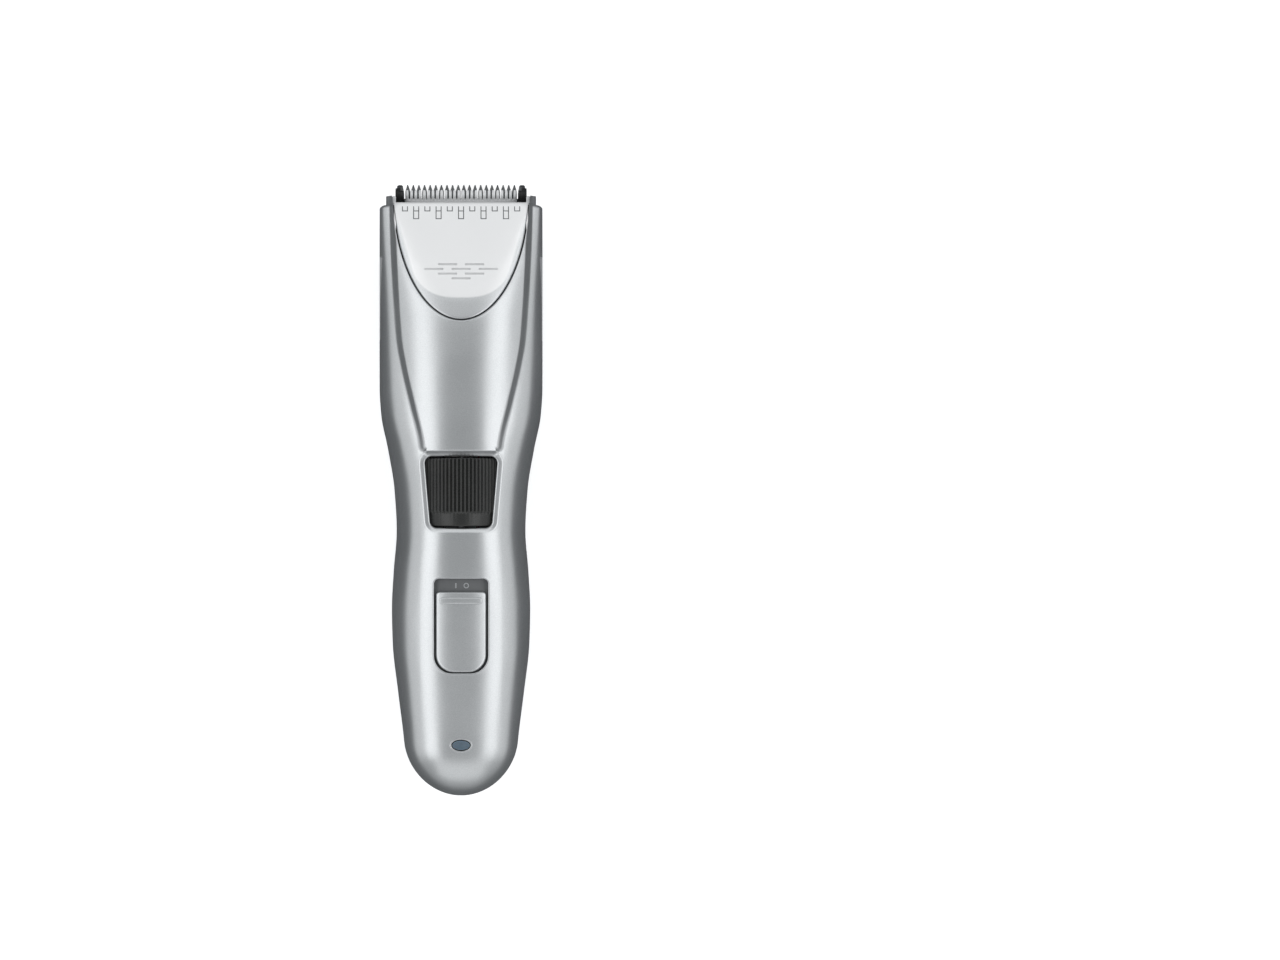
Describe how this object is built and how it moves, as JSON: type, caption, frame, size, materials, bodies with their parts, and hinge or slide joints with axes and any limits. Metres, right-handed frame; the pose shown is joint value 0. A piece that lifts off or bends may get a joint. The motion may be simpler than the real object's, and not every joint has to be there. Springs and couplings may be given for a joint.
{
  "type": "hair clipper",
  "caption": "Cordless hair clipper with a waisted housing, a tilted head cover over toothed blades, a ribbed length dial, comb slider lugs on its flanks and a sliding power switch.",
  "frame": {"origin": "on the surface that the clipper lies on, below the middle of its bounding box, with its front face up", "axes": "+X across the width, +Y from the tail to the blade tips, +Z out of the front face"},
  "size_m": [0.048, 0.18, 0.0389],
  "materials": {
    "silver_housing": "silver metallic paint on plastic, satin",
    "pale_silver_cover": "pale silver metallic paint, satin",
    "black_plastic": "moulded, semi-matte",
    "dark_plastic": "moulded, matte",
    "grey_plastic": "moulded, satin",
    "white_plastic": "moulded acetal, satin",
    "steel": "plain",
    "bright_steel": "ground",
    "blade_steel": "ground, darkened",
    "brass": "plain",
    "rubber": "matte",
    "lens": "smoked, polished",
    "battery_wrap": "shrink film",
    "board": "solder mask",
    "red_wire": "insulation"
  },
  "bodies": {
    "housing": {"front_shell": "silver_housing", "rear_shell": "silver_housing", "case_screw_1": "steel", "case_screw_2": "steel", "case_screw_3": "steel", "case_screw_4": "steel", "chassis": "dark_plastic", "head_bulkhead": "dark_plastic", "shaft_seal": "rubber", "battery": "battery_wrap", "battery_contact_front": "steel", "battery_contact_rear": "steel", "circuit_board": "board", "control_chip": "black_plastic", "slide_switch": "steel", "indicator_led": "lens", "indicator_lens": "lens", "charging_jack": "black_plastic", "jack_pin": "brass", "jack_seal": "rubber", "motor_can": "steel", "motor_end_cap": "black_plastic", "motor_bush": "brass", "motor_lead_left": "black_plastic", "motor_lead_right": "red_wire", "dial_axle": "steel", "dial_detent_spring": "steel", "switch_plate": "grey_plastic"},
    "power_switch": {"switch_button": "silver_housing", "switch_stem": "black_plastic"},
    "dial": {"length_dial": "black_plastic", "dial_cam_drum": "white_plastic"},
    "slider": {"comb_slider": "black_plastic", "follower_pin": "steel"},
    "drive": {"motor_shaft": "steel", "eccentric_cam": "white_plastic", "drive_pin": "steel"},
    "head": {"head_cover": "pale_silver_cover", "blade_frame": "black_plastic", "fixed_blade": "blade_steel", "blade_screw_left": "steel", "blade_screw_right": "steel", "blade_spring": "steel"},
    "cutter": {"moving_blade": "bright_steel", "blade_carrier": "white_plastic"}
  },
  "joints": [
    {"name": "switch_slide", "type": "slide", "parent": "housing", "child": "power_switch", "axis": [0, 0.994, 0.1094], "range_m": [0, 0.0038]},
    {"name": "dial_turn", "type": "hinge", "parent": "housing", "child": "dial", "pos_m": [0, -0.0006, 0.02428], "axis": [0, 1, 0], "range_deg": [0, 300]},
    {"name": "comb_slide", "type": "slide", "parent": "housing", "child": "slider", "axis": [0, 1, 0], "range_m": [0, 0.018]},
    {"name": "drive_spin", "type": "hinge", "parent": "housing", "child": "drive", "pos_m": [0, 0.053, 0.0113], "axis": [0, 1, 0], "continuous": true},
    {"name": "head_tilt", "type": "hinge", "parent": "housing", "child": "head", "pos_m": [0, 0.0492, 0.03791], "axis": [1, 0, 0], "range_deg": [0, 25]},
    {"name": "blade_stroke", "type": "slide", "parent": "head", "child": "cutter", "axis": [1, 0, 0], "range_m": [-0.0008, 0.0008]}
  ],
  "couplings": [
    {"joint": "comb_slide", "follows": "dial_turn", "m_per_rad": 0.0034377}
  ]
}
